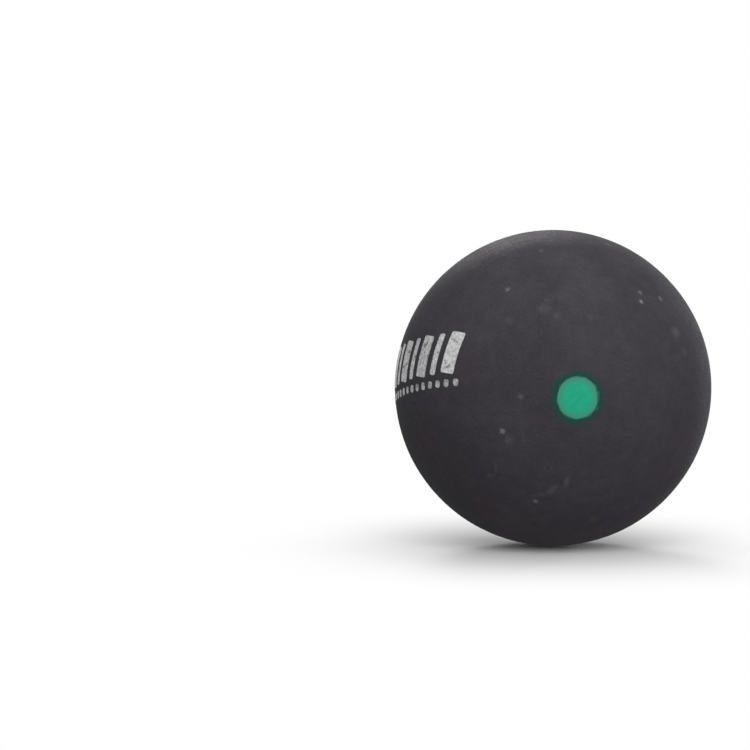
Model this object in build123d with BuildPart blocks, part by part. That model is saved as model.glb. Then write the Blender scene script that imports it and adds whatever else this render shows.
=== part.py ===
from build123d import *
import os
from math import sqrt

# Squash ball: two moulded rubber halves cemented at a seam, with a stamped ink dot and a stamped foil mark.
# The origin is the ball's centre. The moulding axis is Y: the seam lies in the XZ plane, the front half is on
# the -Y side with the ink dot at its pole, and the rear half is on the +Y side. +Z is up, and +X is to the
# right of someone who faces the dot. Lengths are in millimetres and angles in degrees.

# Moulded halves
ball_diameter = 40.0
wall_thickness = 5.0

# Cemented seam between the two rims
cement_film = 0.15
outer_bevel = 0.08
inner_bevel = 0.6
bead_depth = 0.45

# Depth to which the hot stamps press ink and foil into the rubber
stamp_depth = 0.12

# Ink dot at the pole of the front half
dot_diameter = 5.0

# Foil mark on the left: leaning bars, wide and narrow by turns, over a row of small dashes
mark_azimuth = -76.5
mark_elevation = 8.5
mark_tilt = 11.5
wide_bars = 5
wide_bar_width = 1.9
narrow_bar_width = 0.9
bar_spacing = 0.95
bar_height = 5.2
dash_count = 16
dash_width = 0.7
dash_height = 0.9
dash_drop = 0.7
print_lean = 13.0
print_corner = 0.25

# Sizes that follow from those above
ball_radius = ball_diameter / 2
cavity_radius = ball_radius - wall_thickness
film_radius = ball_radius - stamp_depth
rim_offset = cement_film / 2
bar_pitch = wide_bar_width + narrow_bar_width + 2 * bar_spacing
mark_length = (wide_bars - 1) * bar_pitch + wide_bar_width
mark_height = bar_height + dash_drop + dash_height
dash_pitch = (mark_length - dash_width) / (dash_count - 1)
bar_row = (mark_height - bar_height) / 2
dash_row = (dash_height - mark_height) / 2


def radius_at(sphere_radius, height):
    """Radius of the circle that a plane at this height cuts from a sphere."""
    return sqrt(sphere_radius**2 - height**2)


def front(corner):
    """The same corner of the seam on the front half, which is on the -Y side."""
    return (corner[0], -corner[1])


# Corners of the rear rim in section: radius, and distance from the seam plane
outer_edge = (radius_at(ball_radius, rim_offset + outer_bevel), rim_offset + outer_bevel)
outer_land = (outer_edge[0] - outer_bevel, rim_offset)
inner_edge = (radius_at(cavity_radius, rim_offset + inner_bevel), rim_offset + inner_bevel)
inner_land = (inner_edge[0] + inner_bevel, rim_offset)
bead_crest = (inner_edge[0] - bead_depth, 0)

# Stamping dies, from the depth of the ink or foil to well outside the ball. Each one is drawn on a plane
# through the ball's centre, square to the direction in which it is pressed.
dot_plane = Plane.XZ
tilted_plane = dot_plane.rotated((0, -mark_tilt, 0))
raised_plane = tilted_plane.rotated((-mark_elevation, 0, 0))
mark_plane = raised_plane.rotated((0, 0, mark_azimuth))

with BuildPart() as dot_die:
    with BuildSketch(dot_plane):
        Circle(dot_diameter / 2)
    extrude(amount=ball_diameter)
    Sphere(film_radius, mode=Mode.SUBTRACT)

with BuildPart() as mark_die:
    with BuildSketch(mark_plane):
        with Locations((0, bar_row)):
            with GridLocations(bar_pitch, 0, wide_bars, 1):
                RectangleRounded(wide_bar_width, bar_height, print_corner, rotation=-print_lean)
            with GridLocations(bar_pitch, 0, wide_bars - 1, 1):
                RectangleRounded(narrow_bar_width, bar_height, print_corner, rotation=-print_lean)
        with Locations((0, dash_row)):
            with GridLocations(dash_pitch, 0, dash_count, 1):
                RectangleRounded(dash_width, dash_height, print_corner, rotation=-print_lean)
    extrude(amount=ball_diameter)
    Sphere(film_radius, mode=Mode.SUBTRACT)

# Front half: a hollow hemisphere with a flat rim, bevelled inside and out, recessed by both dies
with BuildPart() as front_half_shell:
    with BuildSketch() as half_section:
        with BuildLine():
            RadiusArc((0, -ball_radius), front(outer_edge), -ball_radius)
            Polyline(front(outer_edge), front(outer_land), front(inner_land), front(inner_edge))
            RadiusArc(front(inner_edge), (0, -cavity_radius), cavity_radius)
            Line((0, -cavity_radius), (0, -ball_radius))
        make_face()
    revolve(axis=Axis.Y)
    add(dot_die.part, mode=Mode.SUBTRACT)
    add(mark_die.part, mode=Mode.SUBTRACT)

# Rear half: the same moulding. The foil mark runs across the seam, which is ground flush before it is stamped.
with BuildPart() as rear_half_shell:
    with BuildSketch():
        mirror(half_section.sketch, about=Plane.XZ)
    revolve(axis=Axis.Y)
    add(mark_die.part, mode=Mode.SUBTRACT)

# Cement between the rims: it fills both outer bevels flush with the ball, and swells into a squeezed-out bead
# over the inner bevels
with BuildPart() as seam_cement:
    with BuildSketch():
        with BuildLine():
            RadiusArc(front(outer_edge), outer_edge, -ball_radius)
            Polyline(outer_edge, outer_land, inner_land, inner_edge)
            ThreePointArc(inner_edge, bead_crest, front(inner_edge))
            Polyline(front(inner_edge), front(inner_land), front(outer_land), front(outer_edge))
        make_face()
    revolve(axis=Axis.Y)
    add(mark_die.part, mode=Mode.SUBTRACT)

# Ink and foil films, which fill their recesses flush with the ball
with BuildPart() as speed_dot:
    add(dot_die.part)
    Sphere(ball_radius, mode=Mode.INTERSECT)

with BuildPart() as side_mark:
    add(mark_die.part)
    Sphere(ball_radius, mode=Mode.INTERSECT)

os.makedirs("parts", exist_ok=True)

front_half_shell.part.label = "front_half_shell"
export_step(front_half_shell.part, "parts/front_half_shell.step")

rear_half_shell.part.label = "rear_half_shell"
export_step(rear_half_shell.part, "parts/rear_half_shell.step")

seam_cement.part.label = "seam_cement"
export_step(seam_cement.part, "parts/seam_cement.step")

speed_dot.part.label = "speed_dot"
export_step(speed_dot.part, "parts/speed_dot.step")

side_mark.part.label = "side_mark"
export_step(side_mark.part, "parts/side_mark.step")
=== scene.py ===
import math

import bpy
from mathutils import Matrix, Vector


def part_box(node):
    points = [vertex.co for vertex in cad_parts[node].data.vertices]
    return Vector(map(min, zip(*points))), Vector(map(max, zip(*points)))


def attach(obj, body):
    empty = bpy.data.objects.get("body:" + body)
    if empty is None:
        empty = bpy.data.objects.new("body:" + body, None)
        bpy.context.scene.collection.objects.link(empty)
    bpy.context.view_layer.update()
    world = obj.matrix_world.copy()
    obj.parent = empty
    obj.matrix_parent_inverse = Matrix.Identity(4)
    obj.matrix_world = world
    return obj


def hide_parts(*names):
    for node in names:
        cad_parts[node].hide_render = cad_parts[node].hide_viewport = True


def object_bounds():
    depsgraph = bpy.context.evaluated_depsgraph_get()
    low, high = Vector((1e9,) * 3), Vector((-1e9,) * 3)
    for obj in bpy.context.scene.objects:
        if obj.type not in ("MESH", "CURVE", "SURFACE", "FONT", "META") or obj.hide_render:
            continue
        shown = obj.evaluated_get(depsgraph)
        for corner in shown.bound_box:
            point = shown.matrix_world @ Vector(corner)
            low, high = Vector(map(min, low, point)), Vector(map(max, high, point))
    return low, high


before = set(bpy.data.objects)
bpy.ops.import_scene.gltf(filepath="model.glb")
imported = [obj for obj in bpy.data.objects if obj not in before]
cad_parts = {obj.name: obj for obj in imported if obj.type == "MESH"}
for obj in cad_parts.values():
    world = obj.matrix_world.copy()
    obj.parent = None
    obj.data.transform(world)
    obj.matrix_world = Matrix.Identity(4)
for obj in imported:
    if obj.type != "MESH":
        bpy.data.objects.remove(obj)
cad_low, cad_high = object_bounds()

# Squash ball: two moulded rubber halves cemented at a seam, an ink dot and a foil mark. The origin is the
# ball's centre, the moulding axis is Y with the dot at its -Y end, and +Z is up. Lengths are in metres, and
# angles in degrees until they are used.
MM = 0.001

# Sizes read from the frame
ball_radius = (cad_high.y - cad_low.y) / 2
rim_offset = -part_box("front_half_shell")[1].y
inner_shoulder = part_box("seam_cement")[1].y
dot_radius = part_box("speed_dot")[1].x

# Moulded halves. The rubber lies a hair below the ball's full size, so that the ink and foil stand proud.
# What lies within the margin below the skin belongs to it.
wall_thickness = 5.0 * MM
outer_bevel = 0.08 * MM
skin_drop = 0.010 * MM
skin_margin = outer_bevel / 4
skin_radius = ball_radius - skin_drop
cavity_radius = ball_radius - wall_thickness
inner_bevel = inner_shoulder - rim_offset
outside_steps = 128
inside_steps = 24
spin_steps = 512

# Relief that the mould and the grinding leave in the rubber
unevenness_size = 7.0 * MM
unevenness_depth = 0.030 * MM
grain_size = 0.60 * MM
grain_depth = 0.012 * MM
relief_detail = 2

# Level of a relief's noise, which runs from 0 to 1, that leaves the surface where it is
all_inwards = 1.0
both_ways = 0.5

# Shallow print that the dot's stamp leaves in the rubber
press_depth = 0.020 * MM
press_margin = 0.5 * MM

# Cement between the rims: a hairline outside and a squeezed-out bead inside
hairline_drop = 0.012 * MM
hairline_dip = hairline_drop / 2
bead_depth = 0.45 * MM
bead_steps = 10
bead_lump_size = 2.5 * MM
bead_lump_depth = 0.08 * MM
seam_spin_steps = 256

# Ink dot. Its edge is rounded in three turns, in degrees, and the ink has bled and smeared up a little.
ink_drop = 0.003 * MM
ink_thickness = 0.08 * MM
ink_edge_round = 0.10 * MM
ink_edge_turns = (30, 60, 90)
ink_rings = 24
ink_spin_steps = 128
ink_bleed_size = 1.1 * MM
ink_bleed_reach = 0.36 * MM
ink_stretch_up = 1.04
ink_shift_up = 0.2

# Foil mark: leaning bars, wide and narrow by turns, over a row of small dashes
mark_azimuth = -76.5
mark_elevation = 8.5
mark_tilt = 11.5
wide_bars = 5
wide_bar_width = 1.9 * MM
narrow_bar_width = 0.9 * MM
bar_spacing = 0.95 * MM
bar_height = 5.2 * MM
dash_count = 16
dash_width = 0.7 * MM
dash_height = 0.9 * MM
dash_drop = 0.7 * MM
print_lean = 13.0
print_corner = 0.25 * MM
corner_steps = 6
bar_pitch = wide_bar_width + narrow_bar_width + 2 * bar_spacing
mark_length = (wide_bars - 1) * bar_pitch + wide_bar_width
mark_height = bar_height + dash_drop + dash_height
dash_pitch = (mark_length - dash_width) / (dash_count - 1)
bar_row = (mark_height - bar_height) / 2
dash_row = (dash_height - mark_height) / 2
foil_drop = 0.003 * MM
foil_thickness = 0.07 * MM
foil_mesh = 0.11 * MM
former_cuts = 95
ragged_size = 0.22 * MM
ragged_reach = 0.07 * MM

# Vertices nearer than this are one vertex, and edges that turn more than this angle stay sharp
same_place = 0.0005 * MM
smooth_angle = 35.0


def on_section(radius, angle, side):
    """A point of the ball's section, by its angle from the moulding axis: side -1 in front, 1 behind."""
    return Vector((radius * math.sin(angle), side * radius * math.cos(angle), 0))


def eased(share):
    """A smooth step from 0 to 1."""
    share = min(max(share, 0), 1)
    return share * share * (3 - 2 * share)


def select_only(piece):
    bpy.ops.object.select_all(action="DESELECT")
    piece.select_set(True)
    bpy.context.view_layer.objects.active = piece


def draw_section(name, corners):
    """Start a piece as a line of edges: one vertex, extruded from corner to corner."""
    bpy.ops.object.select_all(action="DESELECT")
    bpy.ops.mesh.primitive_plane_add(size=MM)
    piece = bpy.context.object
    piece.name = name
    piece.data.name = name
    bpy.ops.object.mode_set(mode="EDIT")
    bpy.ops.mesh.merge(type="CENTER")
    bpy.ops.transform.translate(value=corners[0])
    for start, end in zip(corners, corners[1:]):
        bpy.ops.mesh.extrude_region_move(TRANSFORM_OT_translate={"value": end - start})
    return piece


def spin_section(steps):
    """Spin the section that is being edited a quarter round the axis, copy the quarter, and close it."""
    quarters = 4
    turn = math.tau / quarters
    bpy.ops.mesh.select_all(action="SELECT")
    bpy.ops.mesh.spin(steps=steps // quarters, angle=turn, center=(0, 0, 0), axis=(0, 1, 0))
    bpy.ops.mesh.select_all(action="SELECT")
    for quarter in range(1, quarters):
        bpy.ops.mesh.duplicate()
        bpy.ops.transform.rotate(value=turn, orient_axis="Y", center_override=(0, 0, 0))
    bpy.ops.mesh.select_all(action="SELECT")
    bpy.ops.mesh.remove_doubles(threshold=same_place)
    bpy.ops.mesh.normals_make_consistent(inside=False)
    bpy.ops.object.mode_set(mode="OBJECT")


def group_where(piece, name, test):
    """Name the vertices of a piece whose place passes the test."""
    group = piece.vertex_groups.new(name=name)
    chosen = [vertex.index for vertex in piece.data.vertices if test(vertex.co)]
    group.add(chosen, 1.0, "REPLACE")


def apply_modifier(piece, modifier):
    select_only(piece)
    bpy.ops.object.modifier_apply(modifier=modifier.name)


def press_relief(piece, name, size, depth, group="", direction="NORMAL", middle=all_inwards):
    """Press a cloudy relief into a piece, or into one group of its vertices."""
    texture = bpy.data.textures.new(name, type="CLOUDS")
    texture.noise_scale = size
    texture.noise_depth = relief_detail
    relief = piece.modifiers.new(name, "DISPLACE")
    relief.texture = texture
    relief.texture_coords = "LOCAL"
    relief.direction = direction
    relief.mid_level = middle
    relief.strength = depth
    relief.vertex_group = group
    apply_modifier(piece, relief)


def smooth(piece):
    select_only(piece)
    bpy.ops.object.shade_smooth_by_angle(angle=math.radians(smooth_angle))


def dot_press(distance):
    """How far the stamp pressed the rubber in, at this distance from the middle of the dot."""
    return press_depth * eased((dot_radius + press_margin - distance) / press_margin)


def no_press(distance):
    return 0.0


def mould_half(name, side, press):
    """A moulded half: its section runs over the outside, the bevelled rim and the inside."""
    edge_angle = math.acos((rim_offset + outer_bevel) / skin_radius)
    shoulder_angle = math.acos(inner_shoulder / cavity_radius)
    corners = []
    for step in range(outside_steps + 1):
        angle = edge_angle * step / outside_steps
        corners.append(on_section(skin_radius - press(skin_radius * angle), angle, side))
    shoulder = on_section(cavity_radius, shoulder_angle, side)
    corners.append(Vector((corners[-1].x - outer_bevel, side * rim_offset, 0)))
    corners.append(Vector((shoulder.x + inner_bevel, side * rim_offset, 0)))
    for step in range(inside_steps + 1):
        angle = shoulder_angle * (1 - step / inside_steps)
        corners.append(on_section(cavity_radius, angle, side))
    half = draw_section(name, corners)
    spin_section(spin_steps)
    skin_floor = skin_radius - press_depth - skin_margin
    group_where(half, "outside", lambda place: place.length > skin_floor)
    press_relief(half, name + "_unevenness", unevenness_size, unevenness_depth, "outside")
    press_relief(half, name + "_grain", grain_size, grain_depth, "outside")
    smooth(half)
    return half


def squeeze_cement(name):
    """The cement: a film between the rims that fills both outer bevels and swells into a bead inside."""
    hairline_radius = skin_radius - hairline_drop
    edge_angle = math.acos((rim_offset + outer_bevel) / hairline_radius)
    shoulder_angle = math.acos(inner_shoulder / cavity_radius)
    rim = {}
    for side in (-1, 1):
        outer_edge = on_section(hairline_radius, edge_angle, side)
        inner_edge = on_section(cavity_radius, shoulder_angle, side)
        outer_land = Vector((outer_edge.x - outer_bevel, side * rim_offset, 0))
        inner_land = Vector((inner_edge.x + inner_bevel, side * rim_offset, 0))
        rim[side] = [outer_edge, outer_land, inner_land, inner_edge]
    bead_base = rim[1][3].x
    bead = []
    for step in range(1, bead_steps):
        angle = math.pi * step / bead_steps
        bead.append(Vector((bead_base - bead_depth * math.sin(angle), inner_shoulder * math.cos(angle), 0)))
    crest = Vector((hairline_radius - hairline_dip, 0, 0))
    cement = draw_section(name, [rim[-1][0], crest] + rim[1] + bead + rim[-1][::-1])
    spin_section(seam_spin_steps)
    hairline_floor = hairline_radius - skin_margin
    group_where(cement, "hairline", lambda place: math.hypot(place.x, place.z) > hairline_floor)
    press_relief(cement, "hairline_unevenness", unevenness_size, unevenness_depth, "hairline")
    group_where(cement, "bead", lambda place: math.hypot(place.x, place.z) < bead_base - same_place)
    press_relief(cement, "bead_lumps", bead_lump_size, bead_lump_depth, "bead")
    smooth(cement)
    return cement


def stamp_dot(name):
    """The ink dot: a film with a rounded, bled edge, in the stamp's shallow print and a little smeared up."""
    top_radius = ball_radius - ink_drop
    reach = (dot_radius - ink_edge_round) / top_radius
    corners = []
    for ring in range(ink_rings + 1):
        corners.append(on_section(top_radius, reach * ring / ink_rings, -1))
    for degrees in ink_edge_turns:
        turn = math.radians(degrees)
        angle = (dot_radius - ink_edge_round * (1 - math.sin(turn))) / top_radius
        corners.append(on_section(top_radius - ink_thickness * (1 - math.cos(turn)), angle, -1))
    corners.append(Vector((0, ink_thickness - top_radius, 0)))
    dot = draw_section(name, corners)
    spin_section(ink_spin_steps)
    press_relief(dot, "ink_bleed_sideways", ink_bleed_size, ink_bleed_reach, direction="X", middle=both_ways)
    press_relief(dot, "ink_bleed_upwards", ink_bleed_size, ink_bleed_reach, direction="Z", middle=both_ways)
    shift = Matrix.Rotation(math.radians(-ink_shift_up), 4, "X")
    dot.matrix_world = shift @ Matrix.Diagonal((1, 1, ink_stretch_up, 1))
    select_only(dot)
    bpy.ops.object.transform_apply(location=True, rotation=True, scale=True)
    smooth(dot)
    return dot


def cut_leaf(name, width, height):
    """A flat leaf of foil with rounded corners, cut across both ways so that it can be draped."""
    bpy.ops.object.select_all(action="DESELECT")
    bpy.ops.mesh.primitive_plane_add(size=1)
    leaf = bpy.context.object
    leaf.name = name
    bpy.ops.object.mode_set(mode="EDIT")
    bpy.ops.transform.resize(value=(width, height, 1))
    bpy.ops.mesh.bevel(offset=print_corner, segments=corner_steps, affect="VERTICES")
    for length, across in ((width, Vector((1, 0, 0))), (height, Vector((0, 1, 0)))):
        strips = round(length / foil_mesh)
        for strip in range(1, strips):
            bpy.ops.mesh.select_all(action="SELECT")
            cut = across * length * (strip / strips - 0.5)
            bpy.ops.mesh.bisect(plane_co=cut, plane_no=across, threshold=same_place)
    bpy.ops.object.mode_set(mode="OBJECT")
    return leaf


def lay_copies(leaf, places):
    """Lay copies of a leaf over the ball at these places of the mark, leaning as the print does."""
    copies = []
    for along, up in places:
        select_only(leaf)
        bpy.ops.object.duplicate(linked=False)
        copy = bpy.context.object
        copy.location = (along, up, 2 * ball_radius)
        copy.rotation_euler = (0, 0, math.radians(-print_lean))
        bpy.ops.object.transform_apply(location=True, rotation=True, scale=True)
        copies.append(copy)
    bpy.data.objects.remove(leaf)
    return copies


def in_row(count, pitch, row):
    """Places of the mark in a row, about its middle."""
    return [((item - (count - 1) / 2) * pitch, row) for item in range(count)]


def shape_former(radius):
    """A ball to drape the foil on: a finely divided cube that is cast round."""
    bpy.ops.object.select_all(action="DESELECT")
    bpy.ops.mesh.primitive_cube_add(size=2 * radius)
    former = bpy.context.object
    bpy.ops.object.mode_set(mode="EDIT")
    bpy.ops.mesh.subdivide(number_cuts=former_cuts)
    bpy.ops.object.mode_set(mode="OBJECT")
    rounding = former.modifiers.new("rounding", "CAST")
    rounding.factor = 1.0
    rounding.radius = 0
    rounding.use_radius_as_size = False
    rounding.size = radius
    apply_modifier(former, rounding)
    return former


def mark_turn():
    """The turn that takes the mark from the XY plane to its place on the ball's side."""
    upright = Matrix.Rotation(math.radians(90), 4, "X")
    tilted = Matrix.Rotation(math.radians(-mark_tilt), 4, "Y")
    raised = Matrix.Rotation(math.radians(-mark_elevation), 4, "X")
    turned = Matrix.Rotation(math.radians(mark_azimuth), 4, "Z")
    return turned @ raised @ tilted @ upright


def stamp_foil(name):
    """The foil mark: leaves laid flat, drawn on to the ball along the stamp's stroke, and thickened."""
    wide = cut_leaf("wide_bar", wide_bar_width, bar_height)
    narrow = cut_leaf("narrow_bar", narrow_bar_width, bar_height)
    dash = cut_leaf("dash", dash_width, dash_height)
    leaves = lay_copies(wide, in_row(wide_bars, bar_pitch, bar_row))
    leaves += lay_copies(narrow, in_row(wide_bars - 1, bar_pitch, bar_row))
    leaves += lay_copies(dash, in_row(dash_count, dash_pitch, dash_row))
    select_only(leaves[0])
    for leaf in leaves:
        leaf.select_set(True)
    bpy.ops.object.join()
    mark = bpy.context.object
    mark.name = name
    mark.data.name = name
    press_relief(mark, "ragged_along", ragged_size, ragged_reach, direction="X", middle=both_ways)
    press_relief(mark, "ragged_up", ragged_size, ragged_reach, direction="Y", middle=both_ways)
    former = shape_former(ball_radius - foil_drop)
    drape = mark.modifiers.new("drape", "SHRINKWRAP")
    drape.target = former
    drape.wrap_method = "PROJECT"
    drape.use_project_z = True
    drape.use_positive_direction = False
    drape.use_negative_direction = True
    apply_modifier(mark, drape)
    bpy.data.objects.remove(former)
    thickness = mark.modifiers.new("thickness", "SOLIDIFY")
    thickness.thickness = foil_thickness
    thickness.offset = -1
    apply_modifier(mark, thickness)
    mark.matrix_world = mark_turn()
    select_only(mark)
    bpy.ops.object.transform_apply(location=True, rotation=True, scale=True)
    smooth(mark)
    return mark


# Finishes. Every pattern lies on Object coordinates, with its sizes in millimetres. Noise runs from 0 to 1,
# and a range is the two levels of it between which a pattern goes from its least to its full strength.
noise_range = (0.30, 0.70)
noise_core = (0.35, 0.65)
noise_middle = (0.5, 0.5, 0.5)
crook_detail = 2.0

# Softness of a spot's edge and of a stroke's ends, and how far from a stroke's line its sides start and end
# to fade, in widths
spot_softness = 0.9
stroke_softness = 0.7
stroke_side_start = 0.1
stroke_side_end = 0.9


def add_node(tree, kind, inputs=None, **settings):
    """Add a shader node. An input given as another node's output is linked, and any other is set."""
    node = tree.nodes.new(kind)
    for name, value in settings.items():
        setattr(node, name, value)
    for name, value in (inputs or {}).items():
        if isinstance(value, bpy.types.NodeSocket):
            tree.links.new(value, node.inputs[name])
        else:
            node.inputs[name].default_value = value
    return node


def new_finish(name):
    finish = bpy.data.materials.new(name)
    finish.use_nodes = True
    return finish, finish.node_tree, finish.node_tree.nodes["Principled BSDF"]


def vector_step(tree, operation, first, second):
    inputs = {0: first, "Scale": second} if operation == "SCALE" else {0: first, 1: second}
    return add_node(tree, "ShaderNodeVectorMath", inputs, operation=operation).outputs


def combine(tree, operation, first, second):
    return add_node(tree, "ShaderNodeMath", {0: first, 1: second}, operation=operation).outputs[0]


def strongest(tree, masks):
    greatest = masks[0]
    for mask in masks[1:]:
        greatest = combine(tree, "MAXIMUM", greatest, mask)
    return greatest


def blend_colour(tree, share, first, second):
    """Blend two colours. A Mix node has its colours at inputs 6 and 7, and the blend at output 2."""
    mix = add_node(tree, "ShaderNodeMix", data_type="RGBA")
    for index, value in ((0, share), (6, first), (7, second)):
        if isinstance(value, bpy.types.NodeSocket):
            tree.links.new(value, mix.inputs[index])
        else:
            mix.inputs[index].default_value = value
    return mix.outputs[2]


def spread(tree, value, low, high, to_low=0.0, to_high=1.0):
    """Map low to to_low and high to to_high, smoothly, and hold the ends."""
    inputs = {"Value": value, "From Min": low, "From Max": high, "To Min": to_low, "To Max": to_high}
    return add_node(tree, "ShaderNodeMapRange", inputs, interpolation_type="SMOOTHSTEP").outputs["Result"]


def millimetres(tree):
    place = add_node(tree, "ShaderNodeTexCoord").outputs["Object"]
    return vector_step(tree, "SCALE", place, 1 / MM)["Vector"]


def noise(tree, place, size, detail=3.0, roughness=0.55):
    """Cloudy noise whose features are about this many millimetres across."""
    inputs = {"Vector": place, "Scale": 1 / size, "Detail": detail, "Roughness": roughness}
    return add_node(tree, "ShaderNodeTexNoise", inputs).outputs["Fac"]


def nudged(tree, place, size, reach):
    """The place pushed about by noise, so that what is drawn there is crooked."""
    cloud = add_node(tree, "ShaderNodeTexNoise", {"Vector": place, "Scale": 1 / size, "Detail": crook_detail})
    push = vector_step(tree, "SUBTRACT", cloud.outputs["Color"], noise_middle)["Vector"]
    return vector_step(tree, "ADD", place, vector_step(tree, "SCALE", push, reach)["Vector"])["Vector"]


def add_bump(tree, shader, height, strength, depth):
    bump = add_node(tree, "ShaderNodeBump", {"Height": height, "Strength": strength, "Distance": depth * MM})
    tree.links.new(bump.outputs["Normal"], shader.inputs["Normal"])
    return bump


def outward(right, up):
    """Direction from the ball's centre, by degrees to the right of the dot and degrees up."""
    azimuth = math.radians(right)
    elevation = math.radians(up)
    flat = math.cos(elevation)
    return Vector((flat * math.sin(azimuth), -flat * math.cos(azimuth), math.sin(elevation)))


def spot(tree, place, right, up, width, strength, softness):
    """A round spot on the ball, by degrees to the right of the dot and up, and its width in millimetres."""
    away = vector_step(tree, "DISTANCE", place, outward(right, up) * ball_radius / MM)["Value"]
    return spread(tree, away, width / 2 * (1 - softness), width / 2 * (1 + softness), strength, 0.0)


def stroke_axes(right, up, lean):
    """Directions at a place on the ball: along a stroke that leans up to the right, across it, and out."""
    out = outward(right, up)
    level = Vector((0, 0, 1)).cross(out).normalized()
    rise = out.cross(level)
    turn = math.radians(lean)
    along = level * math.cos(turn) + rise * math.sin(turn)
    return along, out.cross(along), out


def stroke(tree, place, right, up, length, width, lean, strength):
    """A long thin mark on the ball, which leans up to the right."""
    across = stroke_axes(right, up, lean)[1]
    offset = combine(tree, "ABSOLUTE", vector_step(tree, "DOT_PRODUCT", place, across)["Value"], 0.0)
    inside = spread(tree, offset, width * stroke_side_start, width * stroke_side_end, 1.0, 0.0)
    whole = spot(tree, place, right, up, length, strength, stroke_softness)
    return combine(tree, "MULTIPLY", whole, inside)


def streaks(tree, place, right, up, lean, size, stretch):
    """Noise that is drawn out along a stroke."""
    along, across, out = stroke_axes(right, up, lean)
    axes = {}
    for name, axis in (("X", along / stretch), ("Y", across), ("Z", out)):
        axes[name] = vector_step(tree, "DOT_PRODUCT", place, axis)["Value"]
    drawn = add_node(tree, "ShaderNodeCombineXYZ", axes).outputs["Vector"]
    return noise(tree, drawn, size, detail=4.0, roughness=0.6)


# Lint on the rubber: degrees right of the dot and up, width in millimetres, and strength
lint = (
    (32.3, 34.8, 0.48, 0.46),
    (-26.7, -11.9, 0.52, 0.38),
    (-16.5, -40.3, 0.58, 0.24),
    (-30.0, 40.2, 0.58, 0.22),
    (45.6, 35.7, 0.58, 0.21),
    (34.4, 38.6, 0.56, 0.21),
    (-19.9, 0.5, 0.56, 0.12),
    (-17.4, 61.4, 0.54, 0.10),
    (48.0, 66.0, 0.62, 0.12),
    (74.0, -17.0, 0.40, 0.26),
    (79.5, -13.5, 0.60, 0.11),
    (103.0, 24.0, 0.66, 0.12),
    (128.0, -9.0, 0.40, 0.32),
    (131.5, -11.0, 0.56, 0.14),
    (139.0, 41.0, 0.70, 0.10),
    (166.0, -27.0, 0.64, 0.14),
    (176.0, 18.0, 0.42, 0.32),
    (-163.0, 44.0, 0.46, 0.16),
    (-149.0, -6.0, 0.44, 0.28),
    (-145.5, -4.0, 0.36, 0.22),
    (-131.0, 27.0, 0.66, 0.12),
    (-121.0, -55.0, 0.42, 0.22),
    (-112.0, -34.0, 0.44, 0.24),
    (-88.0, 47.0, 0.60, 0.13),
)

# Smudges of dust: degrees right of the dot and up, width in millimetres, and strength
smudges = (
    (45.4, 22.2, 1.3, 0.17),
    (48.1, 15.4, 1.0, 0.07),
    (-24.3, -14.7, 0.9, 0.12),
    (-18.8, -15.0, 0.8, 0.07),
    (-12.2, 32.3, 1.3, 0.11),
    (-7.3, 29.6, 0.9, 0.10),
    (-10.7, 35.6, 0.9, 0.06),
    (-25.9, 27.1, 0.9, 0.07),
    (6.3, 29.1, 0.7, 0.07),
    (15.6, -50.9, 1.1, 0.09),
    (60.0, -40.0, 1.1, 0.09),
    (88.0, 12.0, 1.2, 0.10),
    (112.0, -20.0, 1.0, 0.10),
    (147.0, 8.0, 1.4, 0.11),
    (153.0, 5.0, 0.9, 0.09),
    (170.0, 48.0, 1.3, 0.09),
    (-172.0, -14.0, 1.2, 0.11),
    (-155.0, 30.0, 1.0, 0.10),
    (-138.0, 12.0, 1.1, 0.09),
    (-125.0, -12.0, 0.9, 0.11),
    (-60.0, 52.0, 1.2, 0.09),
)

# Scuffs: degrees right of the dot and up, length and width in millimetres, degrees of lean, and strength
scuffs = (
    (-14.8, -37.4, 1.8, 0.55, 8.0, 0.10),
    (-8.7, -34.8, 1.7, 0.70, 50.0, 0.13),
    (-3.0, -31.4, 1.2, 0.60, 78.0, 0.14),
    (-33.8, -29.1, 1.0, 0.40, 0.0, 0.10),
    (-31.2, -25.5, 1.4, 0.34, 86.0, 0.09),
    (-29.3, -30.2, 0.9, 0.40, -5.0, 0.09),
    (95.0, -30.0, 2.4, 0.34, 15.0, 0.13),
    (150.0, 12.0, 3.0, 0.36, 25.0, 0.15),
    (158.0, -22.0, 1.8, 0.32, -50.0, 0.13),
    (-160.0, 21.0, 2.0, 0.32, -15.0, 0.12),
)

# How much the rubber's wisps break up the smudges and scuffs
smudge_range = (0.32, 0.62)
smudge_least = 0.35
scuff_range = (0.35, 0.60)
scuff_least = 0.25

# Pale film in drifts on the upper half: partly dust and partly painted sheen that makes the top paler. It
# starts and is thickest at these shares of the radius.
dust_and_sheen_start = -0.1
dust_and_sheen_full = 1.0
dust_and_sheen_strength = 0.05
drift_size = 5.0
drift_range = (0.25, 0.78)

# Dusty rub near the top, with painted sheen: its place in degrees, its length and width, lean and strength,
# and then its streaks
rub_and_sheen_right = -58.0
rub_and_sheen_up = 70.5
rub_and_sheen_length = 13.5
rub_and_sheen_width = 6.6
rub_and_sheen_lean = 51.0
rub_and_sheen_strength = 0.26
rub_and_sheen_streak = 0.45
rub_and_sheen_stretch = 7.0
rub_and_sheen_range = (0.32, 0.68)
rub_and_sheen_least = 0.4

# Ink's stain in the rubber: how far from the dot's edge it is full and where it ends, its strength, and how
# crooked it is
stain_full = 0.25
stain_end = 1.2
stain_strength = 0.95
stain_crook_size = 1.0
stain_crook_reach = 0.9

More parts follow.
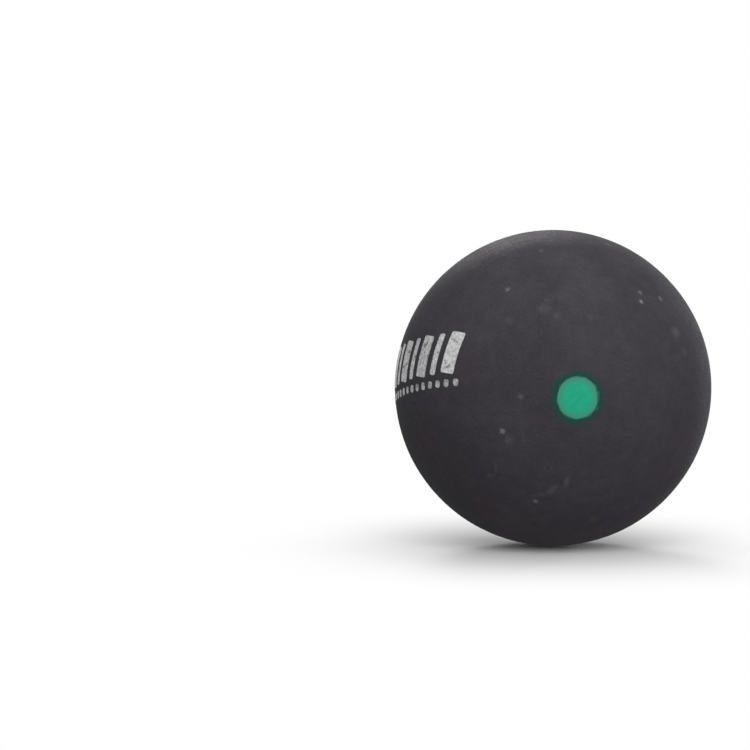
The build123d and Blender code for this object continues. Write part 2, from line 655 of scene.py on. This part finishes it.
# Rubber: its patterns, their shares in its mottle, how crooked the marks on it are, and its surface
cloud_size = 8.0
patch_size = 1.6
wisp_size = 0.9
pore_size = 0.30
fleck_size = 0.20
fleck_range = (0.45, 0.72)
cloud_share = 0.34
patch_share = 0.36
pore_share = 0.30
fine_crook_size = 0.33
fine_crook_reach = 0.35
blotch_size = 0.8
blotch_reach = 0.9
rubber_roughness = (0.80, 0.95)
rubber_specular = 0.012
rubber_sheen = 0.02
rubber_sheen_roughness = 0.30
rubber_bump = 0.9
rubber_bump_depth = 0.15
wisp_bump_share = 0.6
rubber_dark = (0.043, 0.041, 0.047, 1.0)
rubber_pale = (0.062, 0.058, 0.066, 1.0)
# Pale grey for dust and smudges, and for the painted sheen towards the top
dust_and_sheen_grey = (0.29, 0.28, 0.29, 1.0)
lint_grey = (0.42, 0.41, 0.42, 1.0)
ink_bleed = (0.030, 0.130, 0.100, 1.0)
ink_stain = (0.018, 0.066, 0.056, 1.0)


def from_dot(tree, place):
    """Distance from the middle of the dot, in millimetres."""
    return vector_step(tree, "DISTANCE", place, (0, -ball_radius / MM, 0))["Value"]


def rubber_finish():
    """Black rubber, ground matt: cloudy, grainy, a little dusty, with lint on it, and with painted sheen that
    is paler towards the top and in a streaky patch there.
    """
    finish, tree, shader = new_finish("black_rubber")
    place = millimetres(tree)
    crooked = nudged(tree, place, fine_crook_size, fine_crook_reach)
    blotched = nudged(tree, place, blotch_size, blotch_reach)
    cloudy = noise(tree, place, cloud_size)
    patchy = noise(tree, place, patch_size, detail=4.0)
    wisp = noise(tree, place, wisp_size, detail=5.0, roughness=0.65)
    pores = noise(tree, place, pore_size, detail=2.0, roughness=0.6)
    flecks = spread(tree, noise(tree, place, fleck_size, detail=1.0), *fleck_range)
    mottle = combine(tree, "MULTIPLY", cloudy, cloud_share)
    mottle = combine(tree, "ADD", mottle, combine(tree, "MULTIPLY", patchy, patch_share))
    mottle = combine(tree, "ADD", mottle, combine(tree, "MULTIPLY", pores, pore_share))
    colour = blend_colour(tree, spread(tree, mottle, *noise_range), rubber_dark, rubber_pale)

    # Painted sheen and dust: a pale film that grows towards the top and is broken into drifts
    height_up = add_node(tree, "ShaderNodeSeparateXYZ", {0: place}).outputs["Z"]
    radius = ball_radius / MM
    dust_and_sheen_upwards = spread(tree, height_up, dust_and_sheen_start * radius, dust_and_sheen_full * radius, 0.0, dust_and_sheen_strength)
    drifts = spread(tree, noise(tree, place, drift_size, detail=5.0, roughness=0.6), *drift_range)
    film = combine(tree, "MULTIPLY", dust_and_sheen_upwards, drifts)
    # Painted sheen near the top, drawn as a dusty rub in streaks
    rub_and_sheen_mask = stroke(tree, blotched, rub_and_sheen_right, rub_and_sheen_up, rub_and_sheen_length, rub_and_sheen_width, rub_and_sheen_lean, rub_and_sheen_strength)
    rubbed = streaks(tree, crooked, rub_and_sheen_right, rub_and_sheen_up, rub_and_sheen_lean, rub_and_sheen_streak, rub_and_sheen_stretch)
    rub_and_sheen_mask = combine(tree, "MULTIPLY", rub_and_sheen_mask, spread(tree, rubbed, *rub_and_sheen_range, rub_and_sheen_least, 1.0))
    film = combine(tree, "ADD", film, rub_and_sheen_mask)
    # Dust, rub and painted sheen go on in pale grey, with lint flecks in them
    colour = blend_colour(tree, film, colour, dust_and_sheen_grey)
    colour = blend_colour(tree, combine(tree, "MULTIPLY", film, flecks), colour, lint_grey)

    smudged = strongest(tree, [spot(tree, blotched, *smudge, spot_softness) for smudge in smudges])
    smudged = combine(tree, "MULTIPLY", smudged, spread(tree, wisp, *smudge_range, smudge_least, 1.0))
    scuffed = strongest(tree, [stroke(tree, crooked, *scuff) for scuff in scuffs])
    scuffed = combine(tree, "MULTIPLY", scuffed, spread(tree, wisp, *scuff_range, scuff_least, 1.0))
    colour = blend_colour(tree, combine(tree, "MAXIMUM", smudged, scuffed), colour, dust_and_sheen_grey)

    away = from_dot(tree, nudged(tree, place, stain_crook_size, stain_crook_reach))
    edge = dot_radius / MM
    stain_colour = blend_colour(tree, spread(tree, away, edge, edge + stain_full), ink_bleed, ink_stain)
    stain = spread(tree, away, edge + stain_full, edge + stain_end, stain_strength, 0.0)
    colour = blend_colour(tree, stain, colour, stain_colour)
    linty = strongest(tree, [spot(tree, crooked, *speck, spot_softness) for speck in lint])
    colour = blend_colour(tree, linty, colour, lint_grey)

    tree.links.new(colour, shader.inputs["Base Color"])
    roughness = spread(tree, patchy, *noise_range, *rubber_roughness)
    tree.links.new(roughness, shader.inputs["Roughness"])
    shader.distribution = "GGX"
    shader.inputs["Specular IOR Level"].default_value = rubber_specular
    shader.inputs["Sheen Weight"].default_value = rubber_sheen
    shader.inputs["Sheen Roughness"].default_value = rubber_sheen_roughness
    relief = combine(tree, "ADD", pores, combine(tree, "MULTIPLY", wisp, wisp_bump_share))
    add_bump(tree, shader, relief, rubber_bump, rubber_bump_depth)
    return finish


# Cement: its patterns and its surface
cement_patch_size = 3.0
cement_ripple_size = 0.9
cement_roughness = (0.55, 0.70)
cement_specular = 0.15
cement_bump = 0.4
cement_bump_depth = 0.03
cement_dark = (0.032, 0.031, 0.033, 1.0)
cement_pale = (0.042, 0.040, 0.043, 1.0)


def cement_finish():
    """Cured rubber cement: a shade darker and smoother than the rubber."""
    finish, tree, shader = new_finish("cured_cement")
    place = millimetres(tree)
    patchy = noise(tree, place, cement_patch_size, detail=4.0)
    colour = blend_colour(tree, spread(tree, patchy, *noise_core), cement_dark, cement_pale)
    tree.links.new(colour, shader.inputs["Base Color"])
    roughness = spread(tree, patchy, *noise_range, *cement_roughness)
    tree.links.new(roughness, shader.inputs["Roughness"])
    shader.inputs["Specular IOR Level"].default_value = cement_specular
    ripples = noise(tree, place, cement_ripple_size, detail=4.0)
    add_bump(tree, shader, ripples, cement_bump, cement_bump_depth)
    return finish


# Ink: its patterns, how far inside and outside the dot's edge it thins and its rim fades, and its surface
ink_patch_size = 0.8
ink_patch_reach = 0.8
ink_grain_size = 0.3
ink_thin_inside = 0.75
ink_thin_outside = 0.5
ink_rim_inside = 0.12
ink_rim_outside = 0.14
ink_rim_strength = 0.7
ink_roughness = (0.60, 0.75)
ink_specular = 0.12
ink_bump = 0.5
ink_bump_depth = 0.03
deep_green = (0.015, 0.362, 0.209, 1.0)
pale_green = (0.018, 0.403, 0.233, 1.0)
edge_green = (0.058, 0.265, 0.180, 1.0)


def ink_finish():
    """Green stamping ink: full in the middle, thinner and greyer at the edge, over the rubber's grain."""
    finish, tree, shader = new_finish("green_ink")
    place = millimetres(tree)
    patchy = noise(tree, place, ink_patch_size, detail=4.0)
    away = from_dot(tree, place)
    uneven = combine(tree, "ADD", away, combine(tree, "MULTIPLY", patchy, ink_patch_reach))
    edge = dot_radius / MM
    thin = spread(tree, uneven, edge - ink_thin_inside, edge + ink_thin_outside)
    rim = spread(tree, away, edge - ink_rim_inside, edge + ink_rim_outside, 0.0, ink_rim_strength)
    colour = blend_colour(tree, spread(tree, patchy, *noise_core), deep_green, pale_green)
    colour = blend_colour(tree, thin, colour, edge_green)
    colour = blend_colour(tree, rim, colour, ink_bleed)
    tree.links.new(colour, shader.inputs["Base Color"])
    roughness = spread(tree, patchy, *noise_range, *ink_roughness)
    tree.links.new(roughness, shader.inputs["Roughness"])
    shader.inputs["Specular IOR Level"].default_value = ink_specular
    grain = noise(tree, place, ink_grain_size, detail=2.0)
    add_bump(tree, shader, grain, ink_bump, ink_bump_depth)
    return finish


# Foil: it is tired on the dashes, up to these heights over their row, and along the mark behind its front end
tired_dash_full = 0.4
tired_dash_end = 0.9
tired_start = 9.5
tired_full = 4.0
tired_strength = 0.65

# Foil: pinholes and flakes, which open further where it is tired, and the shine between them
pinhole_size = 0.26
pinhole_range = (0.54, 0.74)
pinhole_strength = 0.75
pinhole_tired = 0.05
flake_size = 0.9
flake_range = (0.57, 0.68)
flake_strength = 0.85
flake_tired = 0.03
shine_size = 0.38
shine_range = (0.32, 0.66)
foil_metallic = (0.70, 0.0)
foil_roughness = (0.50, 0.80)
foil_specular = 0.2
foil_bump = 0.5
foil_bump_depth = 0.02
bright_silver = ((0.44, 0.44, 0.445, 1.0), (0.63, 0.63, 0.63, 1.0))
dull_silver = ((0.27, 0.27, 0.275, 1.0), (0.42, 0.42, 0.425, 1.0))
bared_rubber = (0.060, 0.058, 0.062, 1.0)


def foil_finish():
    """Silver stamping foil, rubbed in play: speckled, with pinholes, and worn to the rubber in flakes."""
    finish, tree, shader = new_finish("silver_foil")
    place = millimetres(tree)
    unturned = mark_turn().inverted().to_euler()
    on_mark = add_node(tree, "ShaderNodeMapping", {"Vector": place, "Rotation": unturned}).outputs["Vector"]
    mark_axes = add_node(tree, "ShaderNodeSeparateXYZ", {0: on_mark}).outputs
    row = dash_row / MM
    dashes = spread(tree, mark_axes["Y"], row + tired_dash_full, row + tired_dash_end, 1.0, 0.0)
    rubbed = spread(tree, mark_axes["X"], tired_start, tired_full, 0.0, tired_strength)
    tired = combine(tree, "MAXIMUM", dashes, rubbed)
    pinholes = noise(tree, place, pinhole_size, detail=3.0, roughness=0.6)
    flakes = noise(tree, place, flake_size, detail=5.0, roughness=0.65)
    open_holes = combine(tree, "ADD", pinholes, combine(tree, "MULTIPLY", tired, pinhole_tired))
    open_flakes = combine(tree, "ADD", flakes, combine(tree, "MULTIPLY", tired, flake_tired))
    speckled = spread(tree, open_holes, *pinhole_range, 0.0, pinhole_strength)
    flaked = spread(tree, open_flakes, *flake_range, 0.0, flake_strength)
    worn = combine(tree, "MAXIMUM", speckled, flaked)
    shine = spread(tree, noise(tree, place, shine_size, detail=2.0), *shine_range)
    bright = blend_colour(tree, shine, *bright_silver)
    dull = blend_colour(tree, shine, *dull_silver)
    colour = blend_colour(tree, worn, blend_colour(tree, tired, bright, dull), bared_rubber)
    tree.links.new(colour, shader.inputs["Base Color"])
    tree.links.new(spread(tree, worn, 0.0, 1.0, *foil_metallic), shader.inputs["Metallic"])
    tree.links.new(spread(tree, worn, 0.0, 1.0, *foil_roughness), shader.inputs["Roughness"])
    shader.inputs["Specular IOR Level"].default_value = foil_specular
    add_bump(tree, shader, pinholes, foil_bump, foil_bump_depth).invert = True
    return finish


def dress(piece, finish, node):
    piece.data.materials.clear()
    piece.data.materials.append(finish)
    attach(piece, "root")
    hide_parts(node)


rubber = rubber_finish()
dress(mould_half("front_half", -1, dot_press), rubber, "front_half_shell")
dress(mould_half("rear_half", 1, no_press), rubber, "rear_half_shell")
dress(squeeze_cement("cement_seam"), cement_finish(), "seam_cement")
dress(stamp_dot("ink_dot"), ink_finish(), "speed_dot")
dress(stamp_foil("foil_mark"), foil_finish(), "side_mark")


# Stage: a plain white floor that keeps the ball's shadow, and a white surround. Both are white where they are
# seen, and give the ball a soft light that is stronger from the right.
floor_size = 8.0
floor_white = (0.84, 0.84, 0.84, 1.0)
floor_glow = 0.62
floor_glow_left = 0.30
floor_glow_reach = 0.08
floor_glow_colour = (0.97, 0.95, 0.97, 1.0)
shadow_reach = 0.019
white_reach = 0.050
white = (1.0, 1.0, 1.0, 1.0)


def seen_directly(tree):
    """1 for what the camera sees, also in a reflection or through something clear, and 0 for other light."""
    path = add_node(tree, "ShaderNodeLightPath").outputs
    return strongest(tree, [path["Is Camera Ray"], path["Is Glossy Ray"], path["Is Transmission Ray"]])


def floor_finish():
    """White: matt round the ball, where its shadow falls, and plain white further out."""
    finish, tree, shader = new_finish("white_floor")
    tree.nodes.remove(shader)
    place = add_node(tree, "ShaderNodeTexCoord").outputs["Object"]
    across = add_node(tree, "ShaderNodeSeparateXYZ", {0: place}).outputs["X"]
    strength = spread(tree, across, -floor_glow_reach, floor_glow_reach, floor_glow_left, floor_glow)
    glow = add_node(tree, "ShaderNodeEmission", {"Color": floor_glow_colour, "Strength": strength}).outputs[0]
    matt = add_node(tree, "ShaderNodeBsdfDiffuse", {"Color": floor_white}).outputs[0]
    plain = add_node(tree, "ShaderNodeEmission", {"Color": white, "Strength": 1.0}).outputs[0]
    away = add_node(tree, "ShaderNodeVectorMath", {0: place}, operation="LENGTH").outputs["Value"]
    far = spread(tree, away, shadow_reach, white_reach)
    looks = add_node(tree, "ShaderNodeMixShader", {0: far, 1: matt, 2: plain}).outputs[0]
    mixed = add_node(tree, "ShaderNodeMixShader", {0: seen_directly(tree), 1: glow, 2: looks}).outputs[0]
    tree.links.new(mixed, tree.nodes["Material Output"].inputs["Surface"])
    return finish


bpy.ops.object.select_all(action="DESELECT")
bpy.ops.mesh.primitive_plane_add(size=floor_size, location=(0, 0, cad_low.z))
floor = bpy.context.object
floor.name = "floor"
floor.data.materials.append(floor_finish())

# Direction of the surround's bright side, and the light from there and from the side across from it
bright_side = Vector((0.52, 0.35, 0.78))
bright_light = 0.75
dim_light = 0.10


def white_surround():
    """White where it is seen. The light that it gives grows towards its bright side."""
    surround = bpy.data.worlds.new("white_surround")
    surround.use_nodes = True
    tree = surround.node_tree
    direction = add_node(tree, "ShaderNodeTexCoord").outputs["Generated"]
    towards = vector_step(tree, "DOT_PRODUCT", direction, bright_side)["Value"]
    light = spread(tree, towards, -1.0, 1.0, dim_light, bright_light)
    seen = seen_directly(tree)
    unseen = combine(tree, "MULTIPLY", combine(tree, "SUBTRACT", 1.0, seen), light)
    background = tree.nodes["Background"]
    background.inputs["Color"].default_value = white
    tree.links.new(combine(tree, "ADD", seen, unseen), background.inputs["Strength"])
    return surround


bpy.context.scene.world = white_surround()

# Softboxes: place, width and power in watts
softboxes = {
    "overhead_softbox": ((0.05, 0.20, 0.90), 1.0, 1.0),
    "front_softbox": ((-0.06, -0.76, 0.48), 0.8, 5.0),
    "rim_softbox": ((0.54, 0.71, 0.05), 0.20, 5.0),
    "back_softbox": ((0.00, 0.88, 0.36), 0.26, 4.5),
}
for name, (place, width, power) in softboxes.items():
    bpy.ops.object.light_add(type="AREA", location=place)
    lamp = bpy.context.object
    lamp.name = name
    lamp.data.shape = "DISK"
    lamp.data.size = width
    lamp.data.energy = power
    lamp.rotation_euler = (-Vector(place)).to_track_quat("-Z", "Y").to_euler()

# Camera, where the photograph was taken from: it stands 400 mm from the ball and looks past it on the left.
# Its place and its line of sight are given by degrees right of the dot and up, as directions from the ball.
camera_distance = 400 * MM
stand = (-8.697, 3.578)
look = (-5.468, 3.350)
lens_length = 151.51
film_width = 36.0
nearest_seen = 10 * MM
bpy.ops.object.camera_add(location=camera_distance * outward(*stand))
camera = bpy.context.object
camera.rotation_euler = outward(*look).to_track_quat("Z", "Y").to_euler()
camera.data.lens = lens_length
camera.data.sensor_width = film_width
camera.data.clip_start = nearest_seen
bpy.context.scene.camera = camera

bpy.context.scene.view_settings.view_transform = "Standard"
